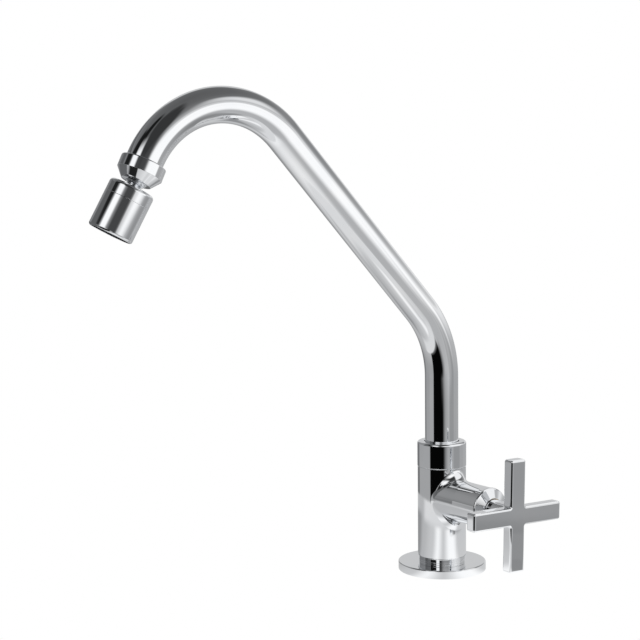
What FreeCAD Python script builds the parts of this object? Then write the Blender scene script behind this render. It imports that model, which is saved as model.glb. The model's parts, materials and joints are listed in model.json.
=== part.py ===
import FreeCAD, Part
import math
import os

V = FreeCAD.Vector
os.makedirs("parts", exist_ok=True)

# ---------------------------------------------------------------- driving dimensions (mm)
# Frame: origin at the centre of the flange's underside (the deck face), +Z up,
# the valve arm and its handle point to -Y, the spout points to -X.

# flange and body
flange_r = 25.15
flange_h = 4.85
boss_r = 13.3            # raised centre of the flange
boss_top = 6.15
neck_r = 13.3            # recessed foot of the body
body_z0 = 8.3
body_z1 = 60.55
body_r = 13.85
arm_z = 42.4             # height of the valve axis
arm_r = 11.6
arm_len = 41.3           # from the body axis to the mouth of the valve arm
arm_turned = 23.0        # the arm is turned to a cylinder from here out, its root keeps the forging's draft
arm_draft = 0.04
arm_fillet = 6.0
bonnet_r = 11.9          # cover ring on the arm's mouth, a little wider than the arm
bonnet_round = 1.35      # rounding of its outer edge
bonnet_face = math.radians(65.0)   # direction of its conical face, from the radius towards the stem
collar_r = 14.0
collar_top = 74.9
spigot_r = 12.0          # threaded spigot under the collar
spigot_top = 68.5

# waterways
thread_r = 10.4775       # G 1/2 major radius
inlet_r = 6.5
shank_top = 20.0
shank_bottom = -50.0
relief_z = -33.0          # groove between the supply thread and the fixing thread
seat_t = 8.0             # cartridge seat, measured out along the valve axis
seat_port_r = 4.0
cart_bore_r = 8.5
socket_r = 10.6          # swivel socket for the spout's plug
socket_floor = 52.0

# deck fixing
deck_t = 20.0            # deck thickness in the rest position

# spout
tube_r = 9.525
tube_wall = 1.2
tube_z0 = 61.0
tube_straight_top = 112.0
bend1_r = 58.6
bend1_deg = 42.9
slope_len = 132.1
bend2_r = 51.0
bend2_deg = 110.9

# handle
hub_r = 6.0
cross_front = 65.3
cross_depth = 6.8
cross_half = 31.2
arm_w = 10.2
cross_edge = 1.35        # rounding of the cross's edges
cross_inner = 0.9        # rounding in the corners between its arms
handle_roll = -1.2       # small indexing error of the spline

# outlet joint and aerator head, measured down the outlet axis from the nut's top
nut_r = 11.7
nut_cyl = 6.4
nut_len = 11.2
nut_mouth_outer = 7.75
tube_end_q = 2.25        # how far the tube runs into the nut
ball_q = 7.6
ball_r = 6.5
ball_neck_r = 3.6
head_ball = 9.0          # the head's own pieces are drawn with the ball's centre at z = -head_ball
head_tilt = 7.3          # the head hangs a little off the nut's axis on its ball
tilt_axis = (0.8859, 0.1571, -0.4359)
head_q0 = 15.2
head_r = 11.75
cap_len = 7.0
head_len = 25.9


# ---------------------------------------------------------------- helpers
def lathe(pts):
    """Closed (r, z) outline turned about Z. A point (r, z, (rm, zm)) is reached by an arc through (rm, zm)."""
    edges = []
    n = len(pts)
    p = lambda q: V(q[0], 0, q[1])
    for i in range(n):
        a, b = pts[i], pts[(i + 1) % n]
        if len(b) == 3:
            edges.append(Part.Arc(p(a), p(b[2]), p(b)).toShape())
        else:
            edges.append(Part.makeLine(p(a), p(b)))
    s = Part.Face(Part.Wire(edges)).revolve(V(0, 0, 0), V(0, 0, 1), 360)
    if s.Volume < 0:
        s.reverse()
    return s


def ring(r0, r1, z0, z1):
    """Plain ring between two radii."""
    return lathe([(r0, z0), (r1, z0), (r1, z1), (r0, z1)])


def rcut(c, r, dz, out=1):
    """Middle point of a rounded corner's arc."""
    k = r * (1 - math.sqrt(0.5))
    return c[0] - out * k, c[1] - dz * k


def o_ring(rc, z, r):
    """O-ring of section radius r."""
    return Part.makeTorus(rc, r, V(0, 0, z), V(0, 0, 1))


def write(name, shape):
    s = shape.removeSplitter() if hasattr(shape, "removeSplitter") else shape
    sol = s.Solids
    ok = all(x.isValid() and x.Volume > 0 for x in sol)
    print("%-22s solids %d  volume %9.1f  valid %s" % (name, len(sol), sum(x.Volume for x in sol), ok))
    out = sol[0] if len(sol) == 1 else Part.makeCompound(sol)
    out.exportStep("parts/%s.step" % name)


# placement of things turned along the valve axis: local z runs out of the body towards the handle
stem = FreeCAD.Placement(V(0, 0, arm_z), FreeCAD.Rotation(V(1, 0, 0), 90))


def on_stem(s):
    return s.transformed(stem.toMatrix(), True)


# ---------------------------------------------------------------- spout centreline
a1 = math.radians(bend1_deg)
a2 = math.radians(bend1_deg + bend2_deg)
z1 = tube_straight_top
p1 = (-bend1_r * (1 - math.cos(a1)), z1 + bend1_r * math.sin(a1))
p2 = (p1[0] - slope_len * math.sin(a1), p1[1] + slope_len * math.cos(a1))
c2 = (p2[0] - bend2_r * math.cos(a1), p2[1] - bend2_r * math.sin(a1))
tip_p = (c2[0] + bend2_r * math.cos(a2), c2[1] + bend2_r * math.sin(a2))
lean = 180.0 - bend1_deg - bend2_deg      # outlet axis, degrees off straight down
out_dir = (-math.sin(math.radians(lean)), -math.cos(math.radians(lean)))
print("nut top at x %.2f z %.2f, lean %.2f" % (tip_p[0], tip_p[1], lean))
print("ball centre at x %.3f z %.3f" % (tip_p[0] + ball_q * out_dir[0], tip_p[1] + ball_q * out_dir[1]))

# placement of things turned along the outlet axis: local z points back up the tube
tip = FreeCAD.Placement(V(tip_p[0], 0, tip_p[1]), FreeCAD.Rotation(V(0, 1, 0), lean))


def at_tip(s):
    return s.transformed(tip.toMatrix(), True)


# placement of the head: the same axis, tilted about the ball's centre
ball_p = V(tip_p[0] + ball_q * out_dir[0], 0, tip_p[1] + ball_q * out_dir[1])
head = FreeCAD.Placement(ball_p, FreeCAD.Rotation(V(*tilt_axis), head_tilt) * FreeCAD.Rotation(V(0, 1, 0), lean))
head = head * FreeCAD.Placement(V(0, 0, head_ball), FreeCAD.Rotation())
head_dir = head.Rotation.multVec(V(0, 0, -1))
print("head axis %.5f %.5f %.5f" % (head_dir.x, head_dir.y, head_dir.z))


def at_head(s):
    return s.transformed(head.toMatrix(), True)


# ================================================================ base
# cover flange: flat disc, small raised boss, recess below for its gasket
g_r0, g_r1, g_h = 14.0, 22.6, 1.8
base_flange = lathe([
    (10.65, 0), (g_r0, 0), (g_r0, g_h), (g_r1, g_h), (g_r1, 0), (flange_r - 0.35, 0), (flange_r, 0.35),
    (flange_r, flange_h - 0.7), (flange_r - 0.7, flange_h, rcut((flange_r, flange_h), 0.7, 1)),
    (boss_r, flange_h), (boss_r, boss_top), (10.65, boss_top)])
write("base_flange", base_flange)

write("flange_gasket", ring(g_r0 + 0.1, g_r1 - 0.1, 0.0, g_h))

# valve body: foot, main barrel and valve arm as one casting
barrel = lathe([(0, body_z0), (body_r - 0.4, body_z0), (body_r, body_z0 + 0.4, rcut((body_r, body_z0), 0.4, -1)),
                (body_r, body_z1 - 0.3), (body_r - 0.3, body_z1), (0, body_z1)])
arm = on_stem(lathe([(0, 0), (arm_r + arm_draft * arm_turned, 0), (arm_r, arm_turned), (arm_r, arm_len), (0, arm_len)]))
cast = barrel.fuse(arm).removeSplitter()
blend_edges = [e for e in cast.Edges if type(e.Curve).__name__ not in ("Circle", "Line")]
cast = cast.makeFillet(arm_fillet, blend_edges)
mouth = [e for e in cast.Edges if type(e.Curve).__name__ == "Circle" and abs(e.CenterOfMass.y + arm_len) < 1e-3]
cast = cast.makeFillet(0.35, mouth)
cast = cast.fuse(Part.makeCylinder(neck_r, body_z0 - boss_top + 0.5, V(0, 0, boss_top)))
cast = cast.fuse(Part.makeCylinder(spigot_r, spigot_top - body_z1 + 0.5, V(0, 0, body_z1 - 0.5)))
# inlet socket with the thread for the shank, then the lower chamber
cast = cast.cut(Part.makeCylinder(thread_r, shank_top + 1.2 - boss_top + 1, V(0, 0, boss_top - 1)))
cast = cast.cut(Part.makeCylinder(inlet_r, 47.4 - shank_top, V(0, 0, shank_top)))
# port to the cartridge seat
cast = cast.cut(on_stem(Part.makeCylinder(seat_port_r, seat_t + 1, V(0, 0, 0))))
# cartridge bore with its wider water annulus, and the counterbore for the cover ring
cast = cast.cut(on_stem(Part.makeCylinder(cart_bore_r, arm_len, V(0, 0, seat_t))))
cast = cast.cut(on_stem(Part.makeCylinder(9.4, 12.0, V(0, 0, 9.0))))
cast = cast.cut(on_stem(Part.makeCylinder(9.9, 10.0, V(0, 0, 39.0))))
# swivel socket above, and the slot that lets the water rise into it
cast = cast.cut(Part.makeCylinder(socket_r, spigot_top - socket_floor + 1, V(0, 0, socket_floor)))
cast = cast.cut(Part.makeBox(8.0, 2.6, 5.0, V(-4.0, -10.6, 48.0)))
write("valve_body", cast)

# threaded shank through the deck
# (a relief groove parts the supply hose's length of thread from the fixing thread above it)
write("threaded_shank", lathe([
    (inlet_r, shank_bottom), (thread_r - 1.0, shank_bottom), (thread_r, shank_bottom + 1.0),
    (thread_r, relief_z - 1.0), (thread_r - 1.2, relief_z - 1.0), (thread_r - 1.2, relief_z + 1.0), (thread_r, relief_z + 1.0),
    (thread_r, shank_top), (inlet_r, shank_top)]))
write("shank_seal", ring(7.2, thread_r - 0.1, shank_top, shank_top + 1.2))

# collar nut on top
write("swivel_collar", lathe([
    (spigot_r, body_z1), (collar_r - 0.35, body_z1), (collar_r, body_z1 + 0.35),
    (collar_r, collar_top - 1.4), (collar_r - 1.4, collar_top, rcut((collar_r, collar_top), 1.4, 1)), (10.0, collar_top),
    (10.0, 72.8), (spigot_r, 72.8)]))
write("lower_slip_ring", ring(10.7, spigot_r - 0.05, spigot_top, 69.3))
write("upper_slip_ring", ring(tube_r + 0.075, spigot_r - 0.05, 71.4, 72.8))

# ================================================================ deck fixing
w1 = -deck_t
write("rubber_washer", ring(thread_r + 0.5, 19.0, w1 - 2.0, w1))
write("metal_washer", ring(thread_r + 0.35, 19.5, w1 - 3.5, w1 - 2.0))
nut_top = w1 - 3.5
nut_h = 8.0
hexa = [V(17.32 * math.cos(math.radians(60 * k)), 17.32 * math.sin(math.radians(60 * k)), nut_top - nut_h)
        for k in range(6)]
hexa = Part.Face(Part.makePolygon(hexa + [hexa[0]])).extrude(V(0, 0, nut_h))
hexa = hexa.common(lathe([
    (0, nut_top - nut_h), (15.2, nut_top - nut_h), (17.4, nut_top - nut_h + 1.3),
    (17.4, nut_top - 1.3), (15.2, nut_top), (0, nut_top)]))
hexa = hexa.cut(Part.makeCylinder(thread_r + 0.07, nut_h + 2, V(0, 0, nut_top - nut_h - 1)))
write("lock_nut", hexa)

# ================================================================ spout
ri = tube_r - tube_wall


def tube_run(r):
    """Solid rod of radius r along the spout's centreline."""
    s = Part.makeCylinder(r, tube_straight_top - tube_z0, V(0, 0, tube_z0))
    # first bend, about an axis parallel to Y at x = -bend1_r
    f = Part.Face(Part.Wire(Part.makeCircle(r, V(0, 0, z1), V(0, 0, 1))))
    b1 = f.revolve(V(-bend1_r, 0, z1), V(0, -1, 0), bend1_deg)
    d1 = V(-math.sin(a1), 0, math.cos(a1))
    sl = Part.makeCylinder(r, slope_len, V(p1[0], 0, p1[1]), d1)
    f = Part.Face(Part.Wire(Part.makeCircle(r, V(p2[0], 0, p2[1]), d1)))
    b2 = f.revolve(V(c2[0], 0, c2[1]), V(0, -1, 0), bend2_deg)
    end = Part.makeCylinder(r, tube_end_q, V(tip_p[0], 0, tip_p[1]), V(out_dir[0], 0, out_dir[1]))
    out = s
    for q in (b1, sl, b2, end):
        out = out.fuse(q)
    return out.removeSplitter()


tube = tube_run(tube_r).cut(tube_run(ri))
write("spout_tube", tube)

# plug at the foot of the tube, with two O-ring grooves and a shoulder
plug_r = socket_r - 0.05
write("spout_bushing", lathe([
    (7.0, 52.6), (plug_r - 0.4, 52.6), (plug_r, 53.0), (plug_r, 54.2), (8.86, 54.2), (8.86, 56.2), (plug_r, 56.2),
    (plug_r, 57.4), (8.86, 57.4), (8.86, 59.4), (plug_r, 59.4), (plug_r, 69.35), (11.4, 69.35), (11.4, 71.3),
    (tube_r, 71.3), (tube_r, tube_z0), (7.0, tube_z0)]))
write("spout_o_rings", Part.makeCompound([o_ring(9.715, 55.2, 0.845), o_ring(9.715, 58.4, 0.845)]))

# ================================================================ cartridge
write("cartridge_seal", on_stem(ring(seat_port_r + 0.2, 6.65, seat_t, 10.4)))

cb = lathe([
    (6.7, 9.0), (8.0, 9.0), (8.2, 9.2), (8.2, 22.0), (8.45, 22.0), (8.45, 23.0), (7.5, 23.0), (7.5, 25.0), (8.45, 25.0),
    (8.45, 26.0), (cart_bore_r, 26.0), (cart_bore_r, 38.0), (8.3, 38.0), (8.3, 42.5), (4.25, 42.5), (4.25, 21.7),
    (6.7, 21.7)])
hexc = [V(8.9 * math.cos(math.radians(60 * k)), 8.9 * math.sin(math.radians(60 * k)), 38.0) for k in range(6)]
hexc = Part.Face(Part.makePolygon(hexc + [hexc[0]])).extrude(V(0, 0, 4.6))
cb = cb.cut(Part.makeCylinder(12, 4.6, V(0, 0, 38.0)).cut(hexc))
cb = cb.cut(Part.makeBox(9.0, 20.0, 3.0, V(-4.5, -10.0, 15.7)))
cb = cb.fuse(Part.makeBox(0.9, 1.6, 2.0, V(5.9, -0.8, 10.6)))      # key that stops the fixed disc turning
write("cartridge_body", on_stem(cb))
write("cartridge_o_ring", on_stem(lathe([
    (7.55, 23.2), (8.3, 23.2), (8.47, 23.6), (8.47, 24.4), (8.3, 24.8), (7.55, 24.8)])))


def disc(r, t0, t1, turn):
    """Ceramic disc with two opposite 80 degree ports."""
    s = Part.makeCylinder(r, t1 - t0, V(0, 0, t0))
    for k in (0, 180):
        w = Part.makeCylinder(4.9, t1 - t0 + 2, V(0, 0, t0 - 1), V(0, 0, 1), 80)
        w = w.cut(Part.makeCylinder(1.5, t1 - t0 + 4, V(0, 0, t0 - 2)))
        w.rotate(V(0, 0, 0), V(0, 0, 1), turn + k - 40)
        s = s.cut(w)
    return s


fd = disc(6.65, 10.4, 12.9, 0.0).cut(Part.makeBox(1.2, 1.8, 2.3, V(5.8, -0.9, 10.4)))
write("fixed_disc", on_stem(fd))
md = disc(6.5, 12.95, 15.4, 90.0)
for sgn in (1, -1):
    md = md.cut(Part.makeBox(1.6, 3.3, 4.0, V(5.25 if sgn > 0 else -6.85, -1.65, 13.8)))
write("moving_disc", on_stem(md))

# spindle: driver with two lugs, shaft with two O-ring grooves, circlip groove, spline
sp = lathe([
    (0, 18.9), (6.4, 18.9), (6.4, 21.0), (4.2, 21.0), (4.2, 26.2), (3.1, 26.2), (3.1, 28.2), (4.2, 28.2), (4.2, 31.2),
    (3.1, 31.2), (3.1, 33.2), (4.2, 33.2), (4.2, 42.75), (3.4, 42.75), (3.4, 43.65), (3.85, 43.65), (3.85, 44.6), (0, 44.6)])
for sgn in (1, -1):
    lug = Part.makeBox(1.15, 3.1, 4.95, V(5.3 if sgn > 0 else -6.45, -1.55, 14.0))
    sp = sp.fuse(lug.common(Part.makeCylinder(6.4, 6, V(0, 0, 13.9))))
teeth = 20
pts = []
for k in range(teeth):
    for frac, r in ((0.0, 3.95), (0.28, 3.95), (0.5, 3.5), (0.78, 3.5)):
        a = 2 * math.pi * (k + frac) / teeth
        pts.append(V(r * math.cos(a), r * math.sin(a), 44.5))
spl = Part.Face(Part.makePolygon(pts + [pts[0]])).extrude(V(0, 0, 12.0))
sp = sp.fuse(spl)
write("cartridge_stem", on_stem(sp))
write("stem_o_rings", on_stem(Part.makeCompound([
    lathe([(3.12, 26.5), (4.0, 26.5), (4.21, 26.9), (4.21, 27.5), (4.0, 27.9), (3.12, 27.9)]),
    lathe([(3.12, 31.5), (4.0, 31.5), (4.21, 31.9), (4.21, 32.5), (4.0, 32.9), (3.12, 32.9)])])))
write("thrust_washer", on_stem(ring(4.3, 6.65, 21.05, 21.7)))
cl = ring(3.42, 5.3, 42.8, 43.6).cut(Part.makeBox(6, 2.4, 2, V(0, -1.2, 42.2)))
write("stem_circlip", on_stem(cl))

# cover ring in the mouth of the arm
bonnet_c = (bonnet_r - bonnet_round, arm_len + 0.2)


def bonnet_at(a):
    """Point of the cover ring's rounding at the angle a from the radius."""
    return bonnet_c[0] + bonnet_round * math.cos(a), bonnet_c[1] + bonnet_round * math.sin(a)


bonnet_end = bonnet_at(bonnet_face)[1] + (bonnet_at(bonnet_face)[0] - 6.75) / math.tan(bonnet_face)
write("bonnet_ring", on_stem(lathe([
    (8.95, 39.0), (9.9, 39.0), (9.9, arm_len), (bonnet_r - 0.1, arm_len), (bonnet_r, arm_len + 0.1), (bonnet_r, bonnet_c[1]),
    bonnet_at(bonnet_face) + (bonnet_at(bonnet_face / 2),), (6.75, bonnet_end), (6.35, bonnet_end),
    (6.35, 42.7), (8.95, 42.7)])))

# ================================================================ handle
bar_x = Part.makeBox(2 * cross_half, arm_w, cross_depth, V(-cross_half, -arm_w / 2, cross_front - cross_depth))
bar_y = Part.makeBox(arm_w, 2 * cross_half, cross_depth, V(-arm_w / 2, -cross_half, cross_front - cross_depth))
cross = bar_x.fuse(bar_y).removeSplitter()
inner = [e for e in cross.Edges if abs(e.Vertexes[0].Point.z - e.Vertexes[-1].Point.z) > 1
         and abs(abs(e.CenterOfMass.x) - arm_w / 2) < 1e-3 and abs(abs(e.CenterOfMass.y) - arm_w / 2) < 1e-3]
cross = cross.makeFillet(cross_inner, inner)
outer = []
for e in cross.Edges:
    a, b = e.Vertexes[0].Point, e.Vertexes[-1].Point
    if abs(a.z - b.z) > 1 and max(abs(a.x), abs(a.y)) < cross_half - 1:
        continue
    outer.append(e)
cross = cross.makeFillet(cross_edge, outer)
hub_t0, hub_t1 = 44.1, cross_front - cross_depth
hub = lathe([(0, hub_t0), (hub_r - 0.4, hub_t0), (hub_r, hub_t0 + 0.4), (hub_r, hub_t1 + 0.2), (0, hub_t1 + 0.2)])
cross = cross.fuse(hub).removeSplitter()
cross = cross.cut(Part.makeCylinder(3.95, 13.2, V(0, 0, hub_t0 - 0.5)))
screw_t = 50.5
cross = cross.cut(Part.makeCylinder(2.0, hub_r + 1, V(0, 0, screw_t), V(0, -1, 0)))
cross.rotate(V(0, 0, 0), V(0, 0, 1), handle_roll)
write("cross_handle", on_stem(cross))
gs = Part.makeCylinder(1.98, 1.75, V(0, -5.75, screw_t), V(0, 1, 0))
hx = [V(1.15 * math.cos(math.radians(60 * k)), 0, 1.15 * math.sin(math.radians(60 * k))) for k in range(6)]
hx = Part.Face(Part.makePolygon(hx + [hx[0]])).extrude(V(0, 1.1, 0))
hx.translate(V(0, -5.8, screw_t))
gs = gs.cut(hx)
gs.rotate(V(0, 0, 0), V(0, 0, 1), handle_roll)
write("handle_set_screw", on_stem(gs))

# ================================================================ outlet joint
bc = -ball_q
seat = ball_r + 0.05


def sph(h, r):
    return math.sqrt(r * r - h * h)


mouth_r = sph(nut_len - ball_q, seat)
h_mid = -(nut_len - ball_q) / 2
write("ball_nut", at_tip(lathe([
    (9.6, 0), (nut_r - 0.8, 0), (nut_r, -0.8), (nut_r, -nut_cyl), (nut_mouth_outer, -nut_len), (mouth_r, -nut_len),
    (seat, bc, (sph(h_mid, seat), bc + h_mid)), (seat, -6.2), (10.6, -6.2), (10.6, -0.9), (9.6, -0.9)])))
write("tip_adapter", at_tip(lathe([
    (tube_r, -0.95), (10.6, -0.95), (10.6, -6.1), (9.3, -6.1), (9.3, -2.8), (8.35, -2.8), (8.35, -tube_end_q),
    (tube_r, -tube_end_q)])))
h0, h1 = ball_q - 6.05, ball_q - 2.85
hm = (h0 + h1) / 2
sr = lathe([(sph(h0, seat), bc + h0, (sph(hm, seat), bc + hm)), (9.25, bc + h0), (9.25, bc + h1),
            (sph(h1, seat), bc + h1)])
sr = sr.cut(ring(4.9, 7.12, bc + 2.83, bc + 4.37))
write("ball_seat_ring", at_tip(sr))
write("ball_o_ring", at_tip(o_ring(math.sqrt((ball_r + 0.8) ** 2 - 3.6 ** 2), bc + 3.6, 0.75)))
top_h = 5.6
neck_h = -sph(ball_neck_r, ball_r)
hb = -head_ball
write("ball_stem", at_head(lathe([
    (2.4, -18.2), (ball_neck_r, -18.2), (ball_neck_r, hb + neck_h), (sph(top_h, ball_r), hb + top_h, (ball_r, hb)),
    (2.4, hb + top_h)])))

# ================================================================ aerator head
q0 = -head_q0
q1 = q0 - cap_len
q2 = q0 - head_len
write("aerator_cap", at_head(lathe([
    (ball_neck_r, q0), (head_r - 2.0, q0), (head_r, q0 - 2.0, rcut((head_r, q0), 2.0, 1)),
    (head_r, q1 + 0.2), (head_r - 0.2, q1), (10.7, q1), (10.7, q0 - 3.0), (ball_neck_r, q0 - 3.0)])))
write("aerator_gasket", at_head(ring(6.0, 9.5, -21.4, q0 - 3.0)))
write("aerator_shell", at_head(lathe([
    (10.7, q1), (head_r - 0.2, q1), (head_r, q1 - 0.2), (head_r, q2 + 1.3), (head_r - 1.3, q2, rcut((head_r, q2), 1.3, -1)),
    (10.35, q2), (10.2, q2 + 0.15), (10.2, -39.0), (8.9, -39.0), (8.9, -38.2), (9.55, -38.2), (9.55, -18.7), (10.5, -18.7),
    (10.7, -18.9)])))
rest_plate = Part.makeCylinder(9.45, 2.0, V(0, 0, -23.4))
for k in range(12):
    a = math.radians(30 * k)
    rest_plate = rest_plate.cut(Part.makeCylinder(0.65, 4, V(7.2 * math.cos(a), 7.2 * math.sin(a), -24.4)))
for k in range(6):
    a = math.radians(60 * k + 15)
    rest_plate = rest_plate.cut(Part.makeCylinder(0.65, 4, V(4.2 * math.cos(a), 4.2 * math.sin(a), -24.4)))
write("aerator_restrictor", at_head(rest_plate))
write("aerator_housing", at_head(lathe([
    (8.3, -38.2), (9.45, -38.2), (9.45, -23.4), (8.6, -23.4), (8.6, -28.4), (8.3, -28.4)])))
holes = []
for i in range(-4, 5):
    for j in range(-4, 5):
        if math.hypot(i * 1.75, j * 1.75) < 7.4:
            holes.append(Part.makeBox(1.3, 1.3, 1.2, V(i * 1.75 - 0.65, j * 1.75 - 0.65, -0.4)))
grid = Part.makeCompound(holes)
screens = []
for z in (-26.0, -28.4):
    s = Part.makeCylinder(8.55, 0.4, V(0, 0, 0)).cut(grid)
    s.translate(V(0, 0, z))
    screens.append(s.Solids[0])
write("aerator_screens", at_head(Part.makeCompound(screens)))
cells = []
pitch = 2.3
for i in range(-4, 5):
    for j in range(-4, 5):
        cx, cy = pitch * (i + 0.5 * (j % 2)), pitch * j * math.sqrt(3) / 2
        if math.hypot(cx, cy) < 6.9:
            hp = [V(cx + 1.1 * math.cos(math.radians(60 * k + 30)), cy + 1.1 * math.sin(math.radians(60 * k + 30)), -38.4)
                  for k in range(6)]
            cells.append(Part.Face(Part.makePolygon(hp + [hp[0]])).extrude(V(0, 0, 6.0)))
hc = Part.makeCylinder(8.28, 4.8, V(0, 0, -38.0)).cut(Part.makeCompound(cells))
write("aerator_straightener", at_head(hc))
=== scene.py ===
import json
import math

import bpy
from mathutils import Matrix, Vector


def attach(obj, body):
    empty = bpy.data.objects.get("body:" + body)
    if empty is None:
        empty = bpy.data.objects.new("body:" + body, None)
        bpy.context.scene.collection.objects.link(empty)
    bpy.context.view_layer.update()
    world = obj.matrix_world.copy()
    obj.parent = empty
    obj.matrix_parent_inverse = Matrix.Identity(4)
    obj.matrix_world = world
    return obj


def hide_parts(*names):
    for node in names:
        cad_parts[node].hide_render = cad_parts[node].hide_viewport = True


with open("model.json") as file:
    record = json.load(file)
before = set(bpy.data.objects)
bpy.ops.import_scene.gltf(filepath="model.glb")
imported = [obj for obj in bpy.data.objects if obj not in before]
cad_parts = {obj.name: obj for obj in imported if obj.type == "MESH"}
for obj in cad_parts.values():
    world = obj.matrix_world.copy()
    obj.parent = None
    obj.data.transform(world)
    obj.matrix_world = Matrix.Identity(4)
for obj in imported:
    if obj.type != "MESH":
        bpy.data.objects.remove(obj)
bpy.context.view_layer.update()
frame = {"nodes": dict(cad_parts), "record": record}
nodes = frame["nodes"]
scene = bpy.context.scene

# The faucet stands on the deck plane z = 0. Its body is on the Z axis, the valve arm and the handle point to -Y,
# and the spout points to -X. Shapes are given in millimetres and made in metres.

# ------------------------------------------------------------------------------------------------ sizes (mm)
FLANGE_R, FLANGE_H = 25.15, 4.85
BOSS_R, BOSS_TOP = 13.3, 6.15
BONNET_R, BONNET_ROUND, BONNET_FACE = 11.9, 1.35, 65.0
BODY_Z0, BODY_Z1, BODY_R = 8.3, 60.55, 13.85
ARM_Z, ARM_R, ARM_LEN, ARM_FILLET = 42.4, 11.6, 41.3, 6.0
ARM_TURNED, ARM_DRAFT = 23.0, 0.04
COLLAR_R, COLLAR_TOP = 14.0, 74.9
TUBE_R, TUBE_IN = 9.525, 8.325
TUBE_Z0, STRAIGHT_TOP = 61.0, 112.0
BEND1_R, BEND1 = 58.6, math.radians(42.9)
SLOPE = 132.1
BEND2_R, BEND2 = 51.0, math.radians(110.9)
LEAN = math.pi - BEND1 - BEND2
NUT_R, NUT_CYL, NUT_LEN, TUBE_END = 11.7, 6.4, 11.2, 2.25
BALL_Q, BALL_R, NECK_R = 7.6, 6.5, 3.6
HEAD_BALL, HEAD_TILT, TILT_AXIS = 9.0, math.radians(7.3), (0.8859, 0.1571, -0.4359)
HEAD_Q, HEAD_R, CAP_LEN, HEAD_LEN = 15.2, 11.75, 7.0, 25.9
CROSS_FRONT, CROSS_DEPTH, CROSS_HALF, CROSS_W, CROSS_EDGE, CROSS_INNER = 65.3, 6.8, 31.2, 10.2, 1.35, 0.9
ROLL = math.radians(-1.2)
THREAD_R, PITCH, THREAD_DEPTH, BORE_R = 10.4775, 25.4 / 14, 1.162, 6.5
SHANK_BOTTOM, SHANK_TOP, RELIEF_Z = -50.0, 20.0, -33.0
DECK_T = 20.0

# centreline of the spout in the XZ plane
P1 = Vector((-BEND1_R * (1 - math.cos(BEND1)), 0, STRAIGHT_TOP + BEND1_R * math.sin(BEND1)))
D1 = Vector((-math.sin(BEND1), 0, math.cos(BEND1)))
P2 = P1 + D1 * SLOPE
C2 = P2 - Vector((math.cos(BEND1), 0, math.sin(BEND1))) * BEND2_R
TIP = C2 + Vector((math.cos(BEND1 + BEND2), 0, math.sin(BEND1 + BEND2))) * BEND2_R
OUT = Vector((-math.sin(LEAN), 0, -math.cos(LEAN)))

UP = Matrix.Identity(4)
STEM = Matrix.Translation((0, 0, ARM_Z)) @ Matrix.Rotation(math.radians(90), 4, "X")      # local z runs out to -Y
AT_TIP = Matrix.Translation(TIP) @ Matrix.Rotation(LEAN, 4, "Y")                          # local z runs back up the tube
AT_HEAD = (Matrix.Translation(TIP + OUT * BALL_Q) @ Matrix.Rotation(HEAD_TILT, 4, Vector(TILT_AXIS).normalized())
           @ Matrix.Rotation(LEAN, 4, "Y") @ Matrix.Translation((0, 0, HEAD_BALL)))      # the ball's centre at z = -HEAD_BALL


# ------------------------------------------------------------------------------------------------ mesh building
class Skin:
    """A mesh with welded points and an exact normal at each corner."""

    def __init__(self):
        self.points, self.index, self.faces, self.normals = [], {}, [], []

    def point(self, p):
        k = (round(p[0] * 1e3), round(p[1] * 1e3), round(p[2] * 1e3))
        i = self.index.get(k)
        if i is None:
            i = len(self.points)
            self.index[k] = i
            self.points.append((p[0], p[1], p[2]))
        return i

    def face(self, pts, nrm):
        ids = [self.point(p) for p in pts]
        keep = [k for k in range(len(ids)) if ids[k] != ids[k - 1]]
        if len({ids[k] for k in keep}) < 3:
            return
        ids, nrm, pts = [ids[k] for k in keep], [nrm[k] for k in keep], [pts[k] for k in keep]
        g = Vector((0, 0, 0))
        for k in range(1, len(pts) - 1):
            g += (Vector(pts[k]) - Vector(pts[0])).cross(Vector(pts[k + 1]) - Vector(pts[0]))
        if g.dot(Vector(nrm[0]) + Vector(nrm[-1])) < 0:
            ids.reverse()
            nrm.reverse()
        self.faces.append(ids)
        self.normals.extend(nrm)

    def grid(self, pts, nrm):
        """pts[i][j] and nrm[i][j] are rows of a patch."""
        for i in range(len(pts) - 1):
            a, b, na, nb = pts[i], pts[i + 1], nrm[i], nrm[i + 1]
            for j in range(len(a) - 1):
                self.face([a[j], a[j + 1], b[j + 1], b[j]], [na[j], na[j + 1], nb[j + 1], nb[j]])

    def build(self, name, body, slot, material, *replaced):
        me = bpy.data.meshes.new(name)
        me.from_pydata([Vector(p) * 0.001 for p in self.points], [], self.faces)
        me.shade_smooth()
        me.normals_split_custom_set([Vector(n).normalized() for n in self.normals])
        me.update()
        ob = bpy.data.objects.new(name, me)
        scene.collection.objects.link(ob)
        me.materials.append(material)
        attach(ob, body)
        if replaced:
            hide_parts(*replaced)
        return ob


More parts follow.
